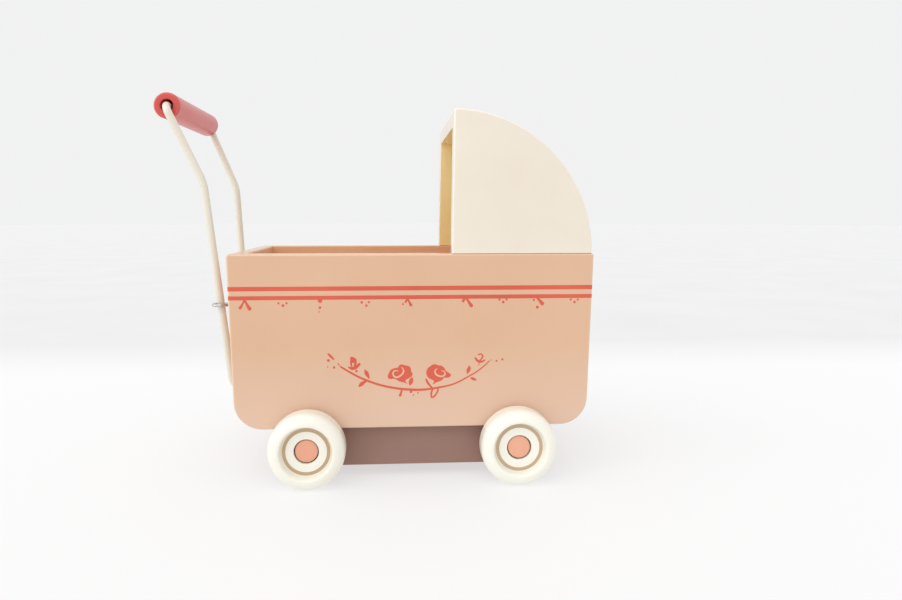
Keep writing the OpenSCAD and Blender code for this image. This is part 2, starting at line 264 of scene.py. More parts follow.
def beech():
    s = Shader("bare_beech")
    grain = s.noise(180, 5, 0.6, s.stretched(1, 0.12, 1), 0.6)
    col = s.mix(s.ramp(grain, 0.3, 0.7), rgb(206, 168, 122), rgb(226, 196, 152))
    flecks = s.ramp(s.noise(1400, 2, 0.5, s.stretched(1, 0.15, 1)), 0.62, 0.75)
    s.link(s.mix(s.times(flecks, 0.5), col, rgb(176, 132, 88)), s.bsdf.inputs["Base Color"])
    s.link(s.ramp(grain, 0.2, 0.8, 0.55, 0.7), s.bsdf.inputs["Roughness"])
    s.link(s.bump(grain, 0.3, 0.00005), s.bsdf.inputs["Normal"])
    return s.mat


M["steel"] = steel()
M["beech"] = beech()


# ---------------------------------------------------------------- mesh helpers
def finish_mesh(name, verts, faces, mats, body="pram", replaces=(), face_mats=None, edge=None, weighted=True, flat=False):
    me = bpy.data.meshes.new(name)
    me.from_pydata([((x + XO) * MM, y * MM, z * MM) for x, y, z in verts], [], faces)
    for m in mats:
        me.materials.append(M[m])
    if face_mats is not None:
        me.polygons.foreach_set("material_index", face_mats)
    if edge is not None:
        a = me.attributes.new("edge", "FLOAT", "POINT")
        a.data.foreach_set("value", edge)
    me.update()
    bm = bmesh.new()
    bm.from_mesh(me)
    bmesh.ops.recalc_face_normals(bm, faces=bm.faces)
    # corners stay sharp, so that a large end face does not bend the shading of the strips beside it
    for e in bm.edges:
        if len(e.link_faces) == 2 and e.calc_face_angle(0.0) > math.radians(50):
            e.smooth = False
    bm.to_mesh(me)
    bm.free()
    me.polygons.foreach_set("use_smooth", [not flat] * len(me.polygons))
    me.validate()
    o = bpy.data.objects.new(name, me)
    bpy.context.scene.collection.objects.link(o)
    if weighted and not flat:
        w = o.modifiers.new("normals", "WEIGHTED_NORMAL")
        w.weight = 100
        w.keep_sharp = True
    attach(o, body)
    if replaces:
        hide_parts(*replaces)
    return o


def fillet(poly, radii, steps=5):
    """Rounds the corners of a closed XZ outline; radii is {corner index: radius}."""
    out = []
    n = len(poly)
    for i, p in enumerate(poly):
        r = radii.get(i, 0)
        if not r:
            out.append(p)
            continue
        a, b = Vector(poly[i - 1]), Vector(poly[(i + 1) % n])
        q = Vector(p)
        u, v = (a - q).normalized(), (b - q).normalized()
        ang = u.angle(v)
        d = r / math.tan(ang / 2)
        c = q + (u + v).normalized() * (r / math.sin(ang / 2))
        p0, p1 = q + u * d, q + v * d
        a0, a1 = math.atan2(p0[1] - c[1], p0[0] - c[0]), math.atan2(p1[1] - c[1], p1[0] - c[0])
        da = (a1 - a0 + math.pi) % (2 * math.pi) - math.pi
        out += [(c[0] + r * math.cos(a0 + da * k / steps), c[1] + r * math.sin(a0 + da * k / steps)) for k in range(steps + 1)]
    return out


def inset(poly, dist):
    """Counter-clockwise outline moved inwards; dist holds one distance for each edge i -> i + 1."""
    n = len(poly)
    out = []
    for i in range(n):
        p0, p1, p2 = Vector(poly[i - 1]), Vector(poly[i]), Vector(poly[(i + 1) % n])
        e0, e1 = (p1 - p0).normalized(), (p2 - p1).normalized()
        n0, n1 = Vector((-e0[1], e0[0])), Vector((-e1[1], e1[0]))
        d0, d1 = dist[i - 1], dist[i]
        det = n0[0] * n1[1] - n0[1] * n1[0]
        if abs(det) < 1e-3:
            m = (n0 + n1).normalized() * ((d0 + d1) / 2)
        else:
            m = Vector(((d0 * n1[1] - d1 * n0[1]) / det, (n0[0] * d1 - n1[0] * d0) / det))
        out.append((p1[0] + m[0], p1[1] + m[1]))
    return out


def slab(poly, y0, y1, r0, r1, share=None, steps=5):
    """Board standing in the XZ plane from y0 to y1, its edges rounded by r0 and r1. share scales the rounding of single edges."""
    n = len(poly)
    share = share or [1.0] * n
    sg = 1 if y1 > y0 else -1
    # the third value of each ring weights the edge tint on the rounding: painted highlight, partly thin paint
    rings = []
    for k in range(steps + 1):
        a = math.pi / 2 * k / steps
        rings.append((r0 * (1 - math.sin(a)), y0 + sg * r0 * (1 - math.cos(a)), math.sin(2 * a)))
    for k in range(steps + 1):
        a = math.pi / 2 * k / steps
        rings.append((r1 * (1 - math.cos(a)), y1 - sg * r1 * (1 - math.sin(a)), math.sin(2 * a)))
    verts, edge = [], []
    for d, y, e in rings:
        for x, z in inset(poly, [d * s for s in share]):
            verts.append((x, y, z))
            edge.append(e)
    faces = []
    for i in range(len(rings) - 1):
        for k in range(n):
            faces.append((i * n + k, i * n + (k + 1) % n, (i + 1) * n + (k + 1) % n, (i + 1) * n + k))
    faces.append(tuple(range(n)))
    last = (len(rings) - 1) * n
    faces.append(tuple(last + k for k in range(n)))
    return verts, faces, edge


def bar(poly, y0, y1, cuts=4):
    """Prism of an XZ outline with plain ends, which lie inside the neighbouring boards."""
    n = len(poly)
    verts, faces = [], []
    for i in range(cuts + 1):
        y = y0 + (y1 - y0) * i / cuts
        verts += [(x, y, z) for x, z in poly]
    for i in range(cuts):
        for k in range(n):
            faces.append((i * n + k, i * n + (k + 1) % n, (i + 1) * n + (k + 1) % n, (i + 1) * n + k))
    faces += [tuple(range(n)), tuple(cuts * n + k for k in range(n))]
    return verts, faces


def lathe(profile, centre, sign=1, n=96, closed=True):
    """Turns (radius, y) points about the Y axis at centre (x, z). sign mirrors along Y."""
    m = len(profile)
    verts = []
    for r, y in profile:
        for k in range(n):
            a = 2 * math.pi * k / n
            verts.append((centre[0] + r * math.cos(a), sign * y, centre[1] + r * math.sin(a)))
    faces = []
    for i in range(m if closed else m - 1):
        j = (i + 1) % m
        for k in range(n):
            faces.append((i * n + k, i * n + (k + 1) % n, j * n + (k + 1) % n, j * n + k))
    return verts, faces


def arc2(c, r, a0, a1, n):
    return [(c[0] + r * math.cos(math.radians(a0 + (a1 - a0) * k / n)), c[1] + r * math.sin(math.radians(a0 + (a1 - a0) * k / n))) for k in range(n + 1)]


def bend_path(points, radii, steps):
    """Polyline with its inner corners bent to round arcs."""
    out = [Vector(points[0])]
    for i in range(1, len(points) - 1):
        p = Vector(points[i])
        u = (p - Vector(points[i - 1])).normalized()
        v = (Vector(points[i + 1]) - p).normalized()
        ang = u.angle(v)
        e = (v - u * v.dot(u)).normalized()
        c = p - u * (radii[i] * math.tan(ang / 2)) + e * radii[i]
        for k in range(steps + 1):
            t = ang * k / steps
            out.append(c - e * (radii[i] * math.cos(t)) + u * (radii[i] * math.sin(t)))
    out.append(Vector(points[-1]))
    return out


def tube(path, radius, sides=32, cap=0.3):
    """Round wire along a path, with softened ends."""
    pts = [Vector(p) for p in path]
    n = len(pts)
    rad = radius if isinstance(radius, (list, tuple)) else [radius] * n
    dirs = []
    for i in range(n):
        a = pts[i] - pts[i - 1] if i else pts[1] - pts[0]
        b = pts[i + 1] - pts[i] if i < n - 1 else pts[-1] - pts[-2]
        dirs.append((a.normalized() + b.normalized()).normalized())
    side = Vector((0.13, 0.37, 0.92))
    side = (side - dirs[0] * side.dot(dirs[0])).normalized()
    rings = []
    for i in range(n):
        side = (side - dirs[i] * side.dot(dirs[i])).normalized()
        up = dirs[i].cross(side)
        if i == 0:
            rings += [(pts[0], side, up, rad[0] - cap)]
            rings += [(pts[0] + dirs[0] * cap, side, up, rad[0])]
        elif i == n - 1:
            rings += [(pts[-1] - dirs[-1] * cap, side, up, rad[-1]), (pts[-1], side, up, rad[-1] - cap)]
        else:
            rings += [(pts[i], side, up, rad[i])]
    verts, faces = [], []
    for p, s, u, r in rings:
        for k in range(sides):
            a = 2 * math.pi * k / sides
            verts.append(tuple(p + s * (r * math.cos(a)) + u * (r * math.sin(a))))
    for i in range(len(rings) - 1):
        for k in range(sides):
            faces.append((i * sides + k, i * sides + (k + 1) % sides, (i + 1) * sides + (k + 1) % sides, (i + 1) * sides + k))
    faces += [tuple(range(sides)), tuple((len(rings) - 1) * sides + k for k in range(sides))]
    return verts, faces


def keep_node(name, mat, bevel=0.0):
    """A CAD node that keeps its shape and gets a better surface."""
    o = NODES[name]
    o.data.materials.clear()
    o.data.materials.append(M[mat])
    o.data.polygons.foreach_set("use_smooth", [True] * len(o.data.polygons))
    w = o.modifiers.new("weld", "WELD")
    w.merge_threshold = 0.00001
    if bevel:
        b = o.modifiers.new("bevel", "BEVEL")
        b.width = bevel * MM
        b.segments = 3
        b.limit_method = "ANGLE"
        b.angle_limit = math.radians(40)
        b.harden_normals = False
    n = o.modifiers.new("normals", "WEIGHTED_NORMAL")
    n.weight = 100
    return o


# ---------------------------------------------------------------- tub
LOW = HALF - (RIM - BOT) * math.tan(SLOPE)
CC = LOW - CR * math.tan(math.radians((90 - 1.9) / 2))
TOP_R = 1.3                      # rounding of the rim's outer corners, seen from the side
EDGE = 0.9                       # rounding of the long outer edges
IN_EDGE = 0.5
LAP = YI + IN_EDGE               # boards between the sides reach this far, so no groove shows


def body_outline():
    right = arc2((CC, BOT + CR), CR, -90, -1.9, 20)
    top = fillet([right[-1], (HALF, RIM), (-HALF, RIM), (-right[-1][0], right[-1][1])], {1: TOP_R, 2: TOP_R}, 5)
    left = [(-x, z) for x, z in reversed(right)]
    poly = right + top[1:-1] + left
    return poly


OUTLINE = body_outline()


def side_boards():
    for name, s in (("right", -1), ("left", 1)):
        v, f, e = slab(OUTLINE, s * YO, s * YI, EDGE, IN_EDGE)
        nring = len(OUTLINE)
        fm = [0] * len(f)
        fm[-1] = 1                                # inner face
        for i in range(8 * nring, 11 * nring):    # most of the inner rounding
            fm[i] = 1
        finish_mesh("side_board_%s_look" % name, v, f, ["peach", "tub_inside"],
                    replaces=["side_board_" + name], face_mats=fm, edge=e)


def end_boards():
    inner_low = None
    # where the board's inner face cuts the rounded corner
    a = -89.0
    while True:
        x = CC + CR * math.cos(math.radians(a))
        z = BOT + CR + CR * math.sin(math.radians(a))
        if x >= end_x(z) - ENDT:
            break
        a += 0.5
    inner_low = (end_x(z) - ENDT, z)
    arc = arc2((CC, BOT + CR), CR, a, -1.9, 14)
    for name, sx, node in (("hood", 1, "end_board_hood"), ("handle", -1, "end_board_handle")):
        corner = [arc[-1], (HALF, RIM), (end_x(RIM) - ENDT, RIM), (end_x(FLOOR - 1) - ENDT, FLOOR - 1)]
        top = fillet(corner, {1: TOP_R, 2: EDGE}, 5)
        poly = arc + top[1:] + []
        if sx < 0:
            poly = [(-x, z) for x, z in reversed(poly)]
        v, f = bar(poly, -LAP, LAP, 6)
        n = len(poly)
        fm, edge = [], []
        for face in f:
            cx = sum(v[i][0] for i in face) / len(face) * sx
            cz = sum(v[i][2] for i in face) / len(face)
            fm.append(1 if len(face) == 4 and cx < end_x(cz) - ENDT + 0.35 and cz > FLOOR - 1 else 0)
        # lighter band along the rim's top edge: painted highlight, partly thin paint
        for x, y, z in v:
            x = abs(x)
            on = 0.0
            if z > RIM - TOP_R - 0.2:
                d = min(abs(x - end_x(z)), abs(x - end_x(z) + ENDT), 9)
                on = 1.0 if (z > RIM - 0.8 and z < RIM - 0.05) else 0.0
            edge.append(on)
        finish_mesh(node + "_look", v, f, ["peach", "tub_inside"], replaces=[node], face_mats=fm, edge=edge)
    # floor board, with its ends tucked under the end boards
    arc_low = arc2((CC, BOT + CR), CR, -90, a, 8)
    right = arc_low + [(inner_low[0] + 0.4, inner_low[1] + 0.3), (end_x(FLOOR) - ENDT + 0.4, FLOOR)]
    poly = right + [(-x, z) for x, z in reversed(right)]
    v, f = bar(poly, -LAP, LAP, 6)
    fm = [1 if len(face) == 4 and all(v[i][2] > FLOOR - 0.1 for i in face) else 0 for face in f]
    finish_mesh("floor_board_look", v, f, ["peach", "tub_inside"], replaces=["floor_board"], face_mats=fm, edge=[0.0] * len(v))


side_boards()
end_boards()


# ---------------------------------------------------------------- hood
def front_x(z):
    return HF + (z - RIM) * math.tan(RAKE)


def hood_top_angle(r):
    a = 60.0
    while front_x(HZ + r * math.sin(math.radians(a))) < HX + r * math.cos(math.radians(a)):
        a += 0.02
    return a


def hood():
    at = hood_top_angle(HR)
    arc = arc2((HX, HZ), HR, 0, at, 64)
    low = [(HF, RIM), (HX + HR, RIM)]
    poly = low + arc
    n0 = len(poly)
    poly = fillet(poly, {n0 - 1: 1.3}, 5)
    n = len(poly)
    share = []
    for i in range(n):
        z = (poly[i][1] + poly[(i + 1) % n][1]) / 2
        x = (poly[i][0] + poly[(i + 1) % n][0]) / 2
        share.append(0.22 if i == 0 else 1.0)
    for name, s in (("right", -1), ("left", 1)):
        v, f, e = slab(poly, s * YO, s * YI, EDGE, IN_EDGE, share)
        fm = [0] * len(f)
        fm[-1] = 1
        for i in range(9 * n, 11 * n):
            fm[i] = 1
        finish_mesh("hood_cheek_%s_look" % name, v, f, ["cream", "lining"],
                    replaces=["hood_cheek_" + name], face_mats=fm, edge=e)
    ri = HR - ROOFT
    ai = hood_top_angle(ri)
    outer = arc2((HX, HZ), HR, 0, at, 64)
    inner = arc2((HX, HZ), ri, ai, 0, 56)
    band = [(HX + ri, RIM), (HX + HR, RIM)] + outer + inner
    m = len(outer)
    band = fillet(band, {1 + m: 1.3, 2 + m: 0.5}, 5)
    v, f = bar(band, -LAP, LAP, 6)
    fm, edge = [], []
    for face in f:
        cx = sum(v[i][0] for i in face) / len(face)
        cz = sum(v[i][2] for i in face) / len(face)
        r = math.hypot(cx - HX, max(cz - HZ, 0))
        fm.append(1 if len(face) == 4 and r < ri + 0.05 and cx > front_x(cz) + 0.35 else 0)
    # lighter band along the roof's front edges: painted highlight, partly thin paint
    for x, y, z in v:
        d = x - front_x(z)
        r = math.hypot(x - HX, z - HZ)
        edge.append(1.0 if 0.05 < d < 0.9 and (r > HR - 1.0 or r < ri + 0.4) else 0.0)
    finish_mesh("hood_roof_look", v, f, ["cream", "lining"], replaces=["hood_roof"], face_mats=fm, edge=edge)


hood()


# ---------------------------------------------------------------- handle
def handle():
    def leg(s):
        return [(-(end_x(HOLE_Z) - 5), s * LEG_LOW, HOLE_Z), (-81.15, s * LEG_LOW, HOLE_Z),
                (-leg_x(KNEE_Z), s * leg_y(KNEE_Z), KNEE_Z), (GX, s * LEG_TOP, GZ)]
    pts = leg(-1) + list(reversed(leg(1)))
    path = bend_path(pts, [0, 6, 22, 4, 4, 22, 6, 0], 14)
    v, f = tube(path, ROD, 36)
    # warmer, darker tint on the rod within 7 mm of the screw-eye height
    edge = [max(0.0, min(1.0, 1 - abs(p[2] - EYE_Z) / 7.0)) * 0.8 for p in v]
    finish_mesh("handle_rod_look", v, f, ["wire"], replaces=["handle_rod"], edge=edge, weighted=False)
    b = 2.7
    prof = [(b, -GL + 0.5), (b + 0.15, -GL + 0.2), (b + 0.5, -GL)]
    prof += [(GR - 1.0 + 1.0 * math.sin(t), -GL + 1.0 - 1.0 * math.cos(t)) for t in [math.pi / 2 * k / 6 for k in range(7)]]
    prof += [(GR, -GL + 2.5), (GR, -GL * 0.5), (GR, 0.0)]
    prof += [(r, -y) for r, y in reversed(prof[:-1])]
    prof += [(b, GL * 0.5), (b, 0.0), (b, -GL * 0.5)]
    v, f = lathe(prof, (GX, GZ), 1, 72)
    # lighter red on the rounded ends: painted highlight, partly thin paint
    edge = [1.0 if (GL - 0.75 < abs(p[1]) < GL - 0.02 and math.hypot(p[0] - GX, p[2] - GZ) > GR - 0.9) else 0.0 for p in v]
    finish_mesh("handle_grip_look", v, f, ["red"], body="grip", replaces=["handle_grip"], edge=edge)


handle()


# ---------------------------------------------------------------- screw eyes
def screw_eyes():
    for name, s in (("right", -1), ("left", 1)):
        cx, cy = -leg_x(EYE_Z) - 0.4, s * leg_y(EYE_Z)
        inside = -(end_x(EYE_Z)) + 5
        path = [(inside, cy, EYE_Z), (inside - 4, cy, EYE_Z), (-end_x(EYE_Z) - 0.4, cy, EYE_Z)]
        rad = [0.9, 1.0, 1.0]
        path.append((cx + 3.5, cy + s * 0.0, EYE_Z))
        rad.append(0.9)
        # the wire swings out of the shank and goes round the leg, its end stopping just short of the start
        for k in range(0, 41):
            a = math.radians(8 + 338 * k / 40)
            path.append((cx + 2.9 * math.cos(a), cy + s * 2.9 * math.sin(a), EYE_Z + 0.10 * (k / 40 - 0.5)))
            rad.append(0.74)
        v, f = tube(path, rad, 20, 0.2)
        finish_mesh("screw_eye_%s_look" % name, v, f, ["steel"], replaces=["screw_eye_" + name], weighted=False)
        # turned washer-like shoulder where the shank enters the board is the plated thread's first turns
        v, f = [], []
        turns, per = 3.2, 18
        hp = []
        for k in range(int(turns * per) + 1):
            a = 2 * math.pi * k / per
            hp.append((-end_x(EYE_Z) - 0.15 - 0.62 * k / per + 0.9, cy + 0.92 * math.cos(a), EYE_Z + 0.92 * math.sin(a)))
        v, f = tube(hp, 0.14, 8, 0.05)
        finish_mesh("screw_eye_%s_thread" % name, v, f, ["steel"], weighted=False)


screw_eyes()


# ---------------------------------------------------------------- wheels and pegs
def smooth_step(t):
    return t * t * (3 - 2 * t)


BOSS_R = 6.2
DISC = YO + 0.5
FACE = WOUT - 3.2
BORE = 3.08
CBORE = 5.2
CB_Y = WIN + 8.6


def wheels():
    ro, ri = 4.5, 2.5
    for w, (sx, sy) in WHEELS.items():
        prof = [(BORE + 0.3, WIN), (BOSS_R - 0.5, WIN), (BOSS_R - 0.15, WIN + 0.15), (BOSS_R, WIN + 0.5), (BOSS_R, DISC - 0.5), (BOSS_R + 0.15, DISC - 0.12), (BOSS_R + 0.5, DISC)]
        prof += [(WR - ri + ri * math.sin(t), DISC + ri - ri * math.cos(t)) for t in [math.pi / 2 * k / 8 for k in range(9)]]
        prof += [(WR, (DISC + WOUT) / 2 - 0.8)]
        prof += [(WR - ro + ro * math.cos(t), WOUT - ro + ro * math.sin(t)) for t in [math.pi / 2 * k / 14 for k in range(14)]]
        # the crest, then the hollow face
        prof += [(WR - ro + 0.05, WOUT - 0.02), (11.45, WOUT - 0.10)]
        prof += [(11.3 - 1.25 * k / 9, WOUT - 0.14 - (3.2 - 0.14 - 0.06) * smooth_step((k + 0.5) / 10)) for k in range(10)]
        line0 = len(prof)
        prof += [(10.02, FACE + 0.02), (9.94, FACE - 0.10), (9.80, FACE - 0.15), (8.80, FACE - 0.15), (8.66, FACE - 0.10), (8.58, FACE + 0.02)]
        line1 = len(prof)
        prof += [(8.40, FACE + 0.0), (7.0, FACE), (5.75, FACE), (CBORE + 0.18, FACE - 0.05), (CBORE, FACE - 0.25), (CBORE, FACE - 2.0), (CBORE, CB_Y + 0.1),
                 (CBORE - 0.1, CB_Y), (BORE + 0.3, CB_Y), (BORE, CB_Y - 0.3), (BORE, (CB_Y + WIN) / 2), (BORE, WIN + 0.3)]
        v, f = lathe(prof, (sx * WB, WR), sy, 128)
        n = 128
        fm = []
        for i in range(len(prof)):
            fm += [1 if line0 <= i < line1 - 1 else 0] * n
        finish_mesh("wheel_%s_look" % w, v, f, ["ivory", "tan_line"], body="wheel_" + w, replaces=["wheel_" + w],
                    face_mats=fm, edge=[0.0] * len(v))


def pegs():
    for w, (sx, sy) in WHEELS.items():
        lo, hi = mmbox("axle_peg_" + w)
        y0, y1 = min(abs(lo[1]), abs(hi[1])), max(abs(lo[1]), abs(hi[1]))
        hr = (hi[2] - lo[2]) / 2
        prof = [(0.0, y0), (2.4, y0), (2.85, y0 + 0.2), (3.0, y0 + 0.7), (3.0, CB_Y - 4), (3.0, CB_Y + 0.3), (hr - 0.3, CB_Y + 0.3), (hr, CB_Y + 0.6), (hr, y1 - 1.0)]
        prof += [(hr - 0.55 + 0.55 * math.cos(t), y1 - 0.75 + 0.55 * math.sin(t)) for t in [math.pi / 2 * k / 6 for k in range(7)]]
        prof += [(hr - 1.4, y1 - 0.09), (hr - 2.6, y1 - 0.03), (1.0, y1 - 0.005), (0.0, y1)]
        n = 72
        m = len(prof)
        verts, faces = [], []
        verts.append((sx * WB, sy * prof[0][1], WR))
        for r, y in prof[1:-1]:
            for k in range(n):
                a = 2 * math.pi * k / n
                verts.append((sx * WB + r * math.cos(a), sy * y, WR + r * math.sin(a)))
        verts.append((sx * WB, sy * prof[-1][1], WR))
        for k in range(n):
            faces.append((0, 1 + (k + 1) % n, 1 + k))
        for i in range(m - 3):
            for k in range(n):
                faces.append((1 + i * n + k, 1 + i * n + (k + 1) % n, 1 + (i + 1) * n + (k + 1) % n, 1 + (i + 1) * n + k))
        base = 1 + (m - 3) * n
        for k in range(n):
            faces.append((base + k, base + (k + 1) % n, len(verts) - 1))
        # darker red rim of the peg head: painted shade where it sits in the counterbore, with a red-painted edge
        edge = [1.0 if abs(p[1]) > y1 - 1.2 and math.hypot(p[0] - sx * WB, p[2] - WR) > hr - 0.12 else 0.0 for p in verts]
        finish_mesh("axle_peg_%s_look" % w, verts, faces, ["salmon"], replaces=["axle_peg_" + w], edge=edge)


wheels()
pegs()

keep_node("chassis_block", "chassis", 0.7)
keep_node("chassis_screws", "steel", 0.0)
keep_node("body_dowels", "beech", 0.3)
keep_node("hood_dowels", "beech", 0.3)


# ---------------------------------------------------------------- printed lines and flowers
def ring_at(z, out):
    """Horizontal outline of the tub at height z, moved outwards by out, as (x, y) points."""
    hx = end_x(z)
    r = EDGE
    pts = []
    for sx, sy, a0 in ((1, -1, -90), (1, 1, 0), (-1, 1, 90), (-1, -1, 180)):
        c = (sx * (hx - r), sy * (YO - r))
        for k in range(9):
            a = math.radians(a0 + 90 * k / 8)
            pts.append((c[0] + (r + out) * math.cos(a), c[1] + (r + out) * math.sin(a)))
    return pts


def stripes():
    for name, hi, lo in (("upper", RIM - 13.72, RIM - 15.57), ("lower", RIM - 17.66, RIM - 19.36)):
        prof = [(-0.12, lo), (0.03, lo), (0.045, lo + 0.05), (0.045, hi - 0.05), (0.03, hi), (-0.12, hi)]
        rows = [[(x, y, z) for x, y in ring_at(z, out)] for out, z in prof]
        n, m = len(rows[0]), len(rows)
        verts = [p for row in rows for p in row]
        faces = []
        for i in range(m):
            j = (i + 1) % m
            for k in range(n):
                faces.append((i * n + k, i * n + (k + 1) % n, j * n + (k + 1) % n, j * n + k))
        finish_mesh("stripe_%s" % name, verts, faces, ["print"], edge=[0.0] * len(verts))


# strokes: points as (x, z) in millimetres on the right side board, then widths along them
STROKES = [
    ([(-30.73, 49.76), (-26.74, 47.3), (-22.97, 45.18), (-18.72, 43.33), (-14.46, 41.82), (-9.71, 40.64), (-4.94, 39.84), (0.31, 39.41), (5.1, 39.44), (10.38, 40.13), (15.67, 41.12), (19.52, 42.52), (23.85, 44.79), (27.7, 47.02), (31.07, 49.65), (33.0, 51.57)],
     [0.69, 0.8, 0.86, 0.92, 0.92, 0.97, 1.03, 1.09, 0.97, 0.86, 0.74, 0.69, 0.63, 0.57, 0.52, 0.4]),
    ([(-36.08, 55.43), (-34.97, 54.36), (-33.85, 53.15)],
     [0.74, 1.03, 0.69]),
    ([(-31.98, 51.31), (-31.52, 50.58)],
     [0.34, 0.52]),
    ([(-26.31, 53.68), (-26.32, 52.43), (-26.43, 51.14), (-26.24, 50.18)],
     [0.86, 1.03, 0.8, 0.69]),
    ([(-25.56, 53.38), (-25.47, 52.71), (-25.52, 51.85)],
     [1.15, 1.72, 1.03]),
    ([(-25.84, 53.39), (-24.9, 52.7), (-24.54, 51.45), (-24.92, 50.11)],
     [1.26, 1.49, 1.03, 0.8]),
    ([(-27.43, 49.57), (-26.02, 49.07), (-24.6, 49.34), (-23.65, 50.14), (-22.93, 50.85)],
     [0.57, 1.43, 1.43, 1.26, 1.15]),
    ([(-20.49, 48.18), (-19.93, 47.06), (-19.42, 45.99), (-18.81, 44.73)],
     [0.57, 1.72, 1.49, 0.46]),
    ([(-19.76, 43.59), (-20.85, 43.03), (-21.95, 42.27), (-22.85, 41.47)],
     [0.69, 1.15, 1.72, 1.03]),
    ([(-1.26, 41.77), (-0.97, 42.73), (-0.64, 43.79), (-0.4, 44.56)],
     [0.92, 1.83, 1.72, 0.69]),
    ([(-4.75, 39.59), (-5.04, 38.53), (-5.52, 37.08)],
     [0.69, 0.86, 1.15]),
    ([(5.68, 43.79), (6.54, 42.13), (8.07, 40.26)],
     [0.8, 1.03, 0.74]),
    ([(23.46, 46.35), (23.84, 47.42), (24.22, 48.38), (24.31, 49.26)],
     [0.57, 1.6, 1.6, 0.69]),
    ([(25.06, 44.19), (25.98, 43.84), (27.14, 43.33)],
     [0.57, 1.38, 0.69]),
    ([(8.55, 39.67), (7.88, 37.84), (8.08, 35.99), (9.32, 36.55), (10.57, 38.48), (10.86, 39.64)],
     [0.74, 0.8, 0.69, 0.74, 0.69, 0.69]),
    ([(26.9, 52.91), (27.87, 51.73), (29.42, 51.23), (31.06, 51.98)],
     [0.69, 1.03, 0.92, 0.46]),
    ([(28.25, 54.25), (29.31, 54.62), (30.18, 53.64), (29.61, 52.58), (28.84, 51.62), (28.56, 50.56)],
     [0.46, 0.57, 0.63, 0.57, 0.52, 0.4]),
    ([(-70.76, 78.89), (-71.62, 77.04), (-72.64, 75.41)],
     [0.77, 0.77, 1.22]),
    ([(-70.76, 78.89), (-69.97, 77.19), (-68.76, 75.06)],
     [0.77, 0.97, 1.61]),
    ([(-2.23, 78.92), (-2.66, 78.12), (-3.14, 77.48)],
     [0.64, 0.77, 0.84]),
    ([(-2.23, 78.92), (-1.64, 77.63), (-0.85, 76.17)],
     [0.64, 0.77, 1.29]),
    ([(22.79, 79.39), (22.15, 78.53), (21.51, 77.67)],
     [0.77, 0.9, 1.22]),
    ([(22.79, 79.39), (23.88, 77.44), (25.07, 75.7)],
     [0.77, 0.97, 1.55]),
    ([(53.37, 79.17), (54.58, 77.86), (55.91, 76.33)],
     [0.9, 1.1, 1.68]),
]
# dots: x, z, radius
DOTS = [
    (-36.02, 52.61, 0.62),
    (-36.37, 49.83, 0.29),
    (-33.65, 49.56, 0.53),
    (-31.15, 49.96, 0.19),
    (-24.14, 47.84, 0.53),
    (-0.88, 38.56, 0.57),
    (2.13, 38.03, 0.33),
    (0.21, 37.09, 0.33),
    (28.41, 49.93, 0.29),
    (33.72, 51.95, 0.24),
    (36.14, 51.53, 0.43),
    (38.71, 52.13, 0.48),
    (-56.72, 77.25, 0.48),
    (-53.33, 77.27, 0.46),
    (-54.81, 76.28, 0.64),
    (-39.38, 75.3, 0.59),
    (-39.77, 73.49, 0.32),
    (-21.72, 77.41, 0.54),
    (-18.7, 77.44, 0.48),
    (-19.77, 76.0, 0.56),
    (-4.21, 76.52, 0.43),
    (-39.25, 78.34, 1.02),
    (37.28, 78.2, 0.48),
    (40.32, 78.18, 0.46),
    (38.91, 77.11, 0.59),
    (52.23, 77.93, 0.48),
    (53.74, 74.77, 0.64),
    (68.38, 77.98, 0.48),
    (71.46, 77.95, 0.46),
    (70.04, 76.88, 0.59),
]
# rose heads: closed outlines
ROSES = [
    [(-10.78, 44.81), (-10.49, 46.59), (-9.44, 48.26), (-8.01, 48.92), (-6.44, 49.19), (-5.87, 50.14), (-4.67, 50.51), (-3.39, 50.11), (-1.96, 49.8), (-0.96, 48.87), (-0.72, 47.42), (-0.15, 46.2), (-0.82, 45.05), (-2.07, 44.3), (-2.93, 43.82), (-3.21, 43.15), (-2.36, 42.02), (-3.41, 42.48), (-4.55, 42.78), (-5.98, 43.19), (-7.22, 43.98), (-8.26, 44.39), (-9.6, 44.21)],
    [(5.77, 46.12), (5.87, 47.47), (6.35, 48.72), (7.4, 49.48), (8.26, 50.15), (9.51, 50.42), (10.85, 49.92), (12.29, 49.71), (13.54, 48.72), (14.12, 47.55), (15.27, 46.76), (16.33, 45.77), (15.85, 44.71), (14.51, 44.44), (13.35, 44.46), (12.59, 43.5), (11.34, 42.89), (10.19, 42.56), (8.94, 41.71), (8.55, 41.91), (9.13, 42.97), (7.98, 43.76), (6.64, 44.56)],
]
# unprinted swirls inside the roses
SWIRLS = [
    ([(-4.82, 49.26), (-4.06, 48.0), (-4.35, 46.65), (-5.59, 45.51), (-7.02, 44.95), (-8.26, 45.64), (-8.54, 46.9), (-7.68, 47.85), (-6.35, 47.74)],
     [0.29, 0.62, 0.72, 0.72, 0.72, 0.67, 0.62, 0.53, 0.24]),
    ([(10.37, 48.48), (9.51, 47.62), (9.8, 46.16), (11.14, 45.27), (12.78, 45.15), (13.83, 46.0), (13.45, 47.08), (12.29, 47.67)],
     [0.29, 0.57, 0.72, 0.72, 0.67, 0.62, 0.48, 0.24]),
]


def smooth_line(pts, vals, sub=6):
    out = []
    n = len(pts)
    for i in range(n - 1):
        p0, p1, p2, p3 = pts[max(i - 1, 0)], pts[i], pts[i + 1], pts[min(i + 2, n - 1)]
        for k in range(sub):
            t = k / sub
            c = [0.5 * (2 * b + (c2 - a) * t + (2 * a - 5 * b + 4 * c2 - d) * t * t + (3 * b - a - 3 * c2 + d) * t ** 3)
                 for a, b, c2, d in zip(p0, p1, p2, p3)]
            out.append((c[0], c[1], vals[i] + (vals[i + 1] - vals[i]) * t))
    out.append((pts[-1][0], pts[-1][1], vals[-1]))
    return out


